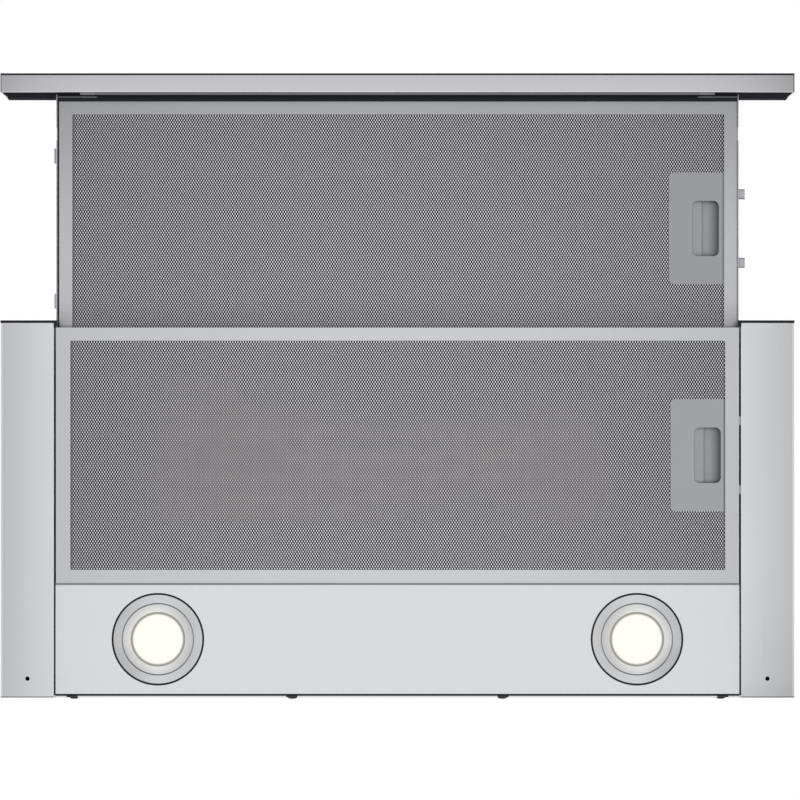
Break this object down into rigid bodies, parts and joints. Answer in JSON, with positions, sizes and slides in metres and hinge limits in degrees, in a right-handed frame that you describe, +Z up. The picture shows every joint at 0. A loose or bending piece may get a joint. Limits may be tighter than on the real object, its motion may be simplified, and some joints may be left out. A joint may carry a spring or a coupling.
{
  "type": "telescopic range hood",
  "caption": "Built-in cooker hood whose front drawer slides out under a casing with fan, hook-in grease filters, spot lamps and a round duct spigot.",
  "frame": {"origin": "middle of the rear face, level with the underside of the cabinet, which is also the top of the base", "axes": "+X across the hood to its latch side, +Y towards the wall, +Z up"},
  "size_m": [0.598, 0.4729, 0.468],
  "materials": {
    "casing_wrap": "galvanised sheet",
    "top_plate": "galvanised sheet",
    "front_panel": "galvanised sheet",
    "front_tie": "galvanised sheet",
    "outlet_box": "galvanised sheet",
    "outlet_spigot": "satin black",
    "flap_pin": "brushed",
    "fan_scroll": "satin black",
    "fan_side_plates": "satin black",
    "motor": "satin",
    "motor_bracket": "galvanised sheet",
    "mains_box": "satin black",
    "cable_gland": "satin black",
    "wing_left": "brushed",
    "wing_right": "brushed",
    "wing_caps": "satin black",
    "rear_rail": "brushed",
    "lamp_panel": "fine brushed",
    "lamp_bezels": "brushed",
    "lamp_rings": "brushed",
    "lamp_lenses": "frosted, warm white",
    "lamp_cans": "satin",
    "rail_carriers": "galvanised sheet",
    "rail_outers": "brushed",
    "mounting_brackets": "galvanised sheet",
    "rear_screws": "black enamel",
    "casing_screws": "galvanised sheet",
    "carriage_sides": "galvanised sheet",
    "carriage_roof": "galvanised sheet",
    "carriage_front": "black enamel",
    "carriage_rear": "galvanised sheet",
    "corner_brackets": "brushed",
    "rail_inners": "brushed",
    "front_bar": "brushed",
    "fascia_plate": "black enamel",
    "bar_liner": "satin black",
    "bar_lip": "brushed",
    "control_board": "green laminate",
    "front_filter_frame": "satin",
    "front_filter_mesh": "satin",
    "front_latch_plate": "satin grey",
    "front_latch_springs": "brushed",
    "rail_middle_left": "brushed",
    "rail_middle_right": "brushed",
    "front_latch_slider": "satin grey",
    "rear_filter_frame": "satin",
    "rear_filter_mesh": "satin",
    "rear_latch_plate": "satin grey",
    "rear_latch_springs": "brushed",
    "rear_latch_slider": "satin grey",
    "flap_front": "satin black",
    "flap_rear": "satin black",
    "fan_impeller": "moulded",
    "fan_shaft": "brushed",
    "button_1": "satin silver",
    "button_2": "satin silver",
    "button_3": "satin silver",
    "button_4": "satin silver",
    "button_5": "satin silver"
  },
  "bodies": {
    "hood": {"casing_wrap": "casing_wrap", "top_plate": "top_plate", "front_panel": "front_panel", "front_tie": "front_tie", "outlet_box": "outlet_box", "outlet_spigot": "outlet_spigot", "flap_pin": "flap_pin", "fan_scroll": "fan_scroll", "fan_side_plates": "fan_side_plates", "motor": "motor", "motor_bracket": "motor_bracket", "mains_box": "mains_box", "cable_gland": "cable_gland", "wing_left": "wing_left", "wing_right": "wing_right", "wing_caps": "wing_caps", "rear_rail": "rear_rail", "lamp_panel": "lamp_panel", "lamp_bezels": "lamp_bezels", "lamp_rings": "lamp_rings", "lamp_lenses": "lamp_lenses", "lamp_cans": "lamp_cans", "rail_carriers": "rail_carriers", "rail_outers": "rail_outers", "mounting_brackets": "mounting_brackets", "rear_screws": "rear_screws", "casing_screws": "casing_screws"},
    "drawer": {"carriage_sides": "carriage_sides", "carriage_roof": "carriage_roof", "carriage_front": "carriage_front", "carriage_rear": "carriage_rear", "corner_brackets": "corner_brackets", "rail_inners": "rail_inners", "front_bar": "front_bar", "fascia_plate": "fascia_plate", "bar_liner": "bar_liner", "bar_lip": "bar_lip", "control_board": "control_board", "front_filter_frame": "front_filter_frame", "front_filter_mesh": "front_filter_mesh", "front_latch_plate": "front_latch_plate", "front_latch_springs": "front_latch_springs"},
    "rail_left": {"rail_middle_left": "rail_middle_left"},
    "rail_right": {"rail_middle_right": "rail_middle_right"},
    "front_latch": {"front_latch_slider": "front_latch_slider"},
    "rear_filter": {"rear_filter_frame": "rear_filter_frame", "rear_filter_mesh": "rear_filter_mesh", "rear_latch_plate": "rear_latch_plate", "rear_latch_springs": "rear_latch_springs"},
    "rear_latch": {"rear_latch_slider": "rear_latch_slider"},
    "flap_front": {"flap_front": "flap_front"},
    "flap_rear": {"flap_rear": "flap_rear"},
    "fan_rotor": {"fan_impeller": "fan_impeller", "fan_shaft": "fan_shaft"},
    "button_1": {"button_1": "button_1"},
    "button_2": {"button_2": "button_2"},
    "button_3": {"button_3": "button_3"},
    "button_4": {"button_4": "button_4"},
    "button_5": {"button_5": "button_5"}
  },
  "joints": [
    {"name": "drawer_slide", "type": "slide", "parent": "hood", "child": "drawer", "axis": [0, 1, 0], "range_m": [0, 0.171]},
    {"name": "rail_left_slide", "type": "slide", "parent": "hood", "child": "rail_left", "axis": [0, 1, 0], "range_m": [0, 0.0855]},
    {"name": "rail_right_slide", "type": "slide", "parent": "hood", "child": "rail_right", "axis": [0, 1, 0], "range_m": [0, 0.0855]},
    {"name": "front_latch_slide", "type": "slide", "parent": "drawer", "child": "front_latch", "axis": [-1, 0, 0], "range_m": [0, 0.0062], "stiffness_N_per_m": 600, "springref_m": -0.004, "deforming": ["front_latch_springs"]},
    {"name": "rear_filter_swing", "type": "hinge", "parent": "hood", "child": "rear_filter", "pos_m": [-0.25865, -0.18255, -0.0391], "axis": [0, 1, 0], "range_deg": [0, 50]},
    {"name": "rear_latch_slide", "type": "slide", "parent": "rear_filter", "child": "rear_latch", "axis": [-1, 0, 0], "range_m": [0, 0.0062], "stiffness_N_per_m": 600, "springref_m": -0.004, "deforming": ["rear_latch_springs"]},
    {"name": "flap_front_swing", "type": "hinge", "parent": "hood", "child": "flap_front", "pos_m": [0, -0.115, 0.392], "axis": [-1, 0, 0], "range_deg": [0, 75]},
    {"name": "flap_rear_swing", "type": "hinge", "parent": "hood", "child": "flap_rear", "pos_m": [0, -0.115, 0.392], "axis": [1, 0, 0], "range_deg": [0, 75]},
    {"name": "fan_spin", "type": "hinge", "parent": "hood", "child": "fan_rotor", "pos_m": [0, -0.175, 0.23], "axis": [1, 0, 0], "continuous": true},
    {"name": "button_1_press", "type": "slide", "parent": "drawer", "child": "button_1", "axis": [0, 1, 0], "range_m": [0, 0.0015], "stiffness_N_per_m": 500, "springref_m": -0.001},
    {"name": "button_2_press", "type": "slide", "parent": "drawer", "child": "button_2", "axis": [0, 1, 0], "range_m": [0, 0.0015], "stiffness_N_per_m": 500, "springref_m": -0.001},
    {"name": "button_3_press", "type": "slide", "parent": "drawer", "child": "button_3", "axis": [0, 1, 0], "range_m": [0, 0.0015], "stiffness_N_per_m": 500, "springref_m": -0.001},
    {"name": "button_4_press", "type": "slide", "parent": "drawer", "child": "button_4", "axis": [0, 1, 0], "range_m": [0, 0.0015], "stiffness_N_per_m": 500, "springref_m": -0.001},
    {"name": "button_5_press", "type": "slide", "parent": "drawer", "child": "button_5", "axis": [0, 1, 0], "range_m": [0, 0.0015], "stiffness_N_per_m": 500, "springref_m": -0.001}
  ],
  "couplings": [
    {"joint": "rail_left_slide", "follows": "drawer_slide", "ratio": 0.5},
    {"joint": "rail_right_slide", "follows": "drawer_slide", "ratio": 0.5}
  ]
}
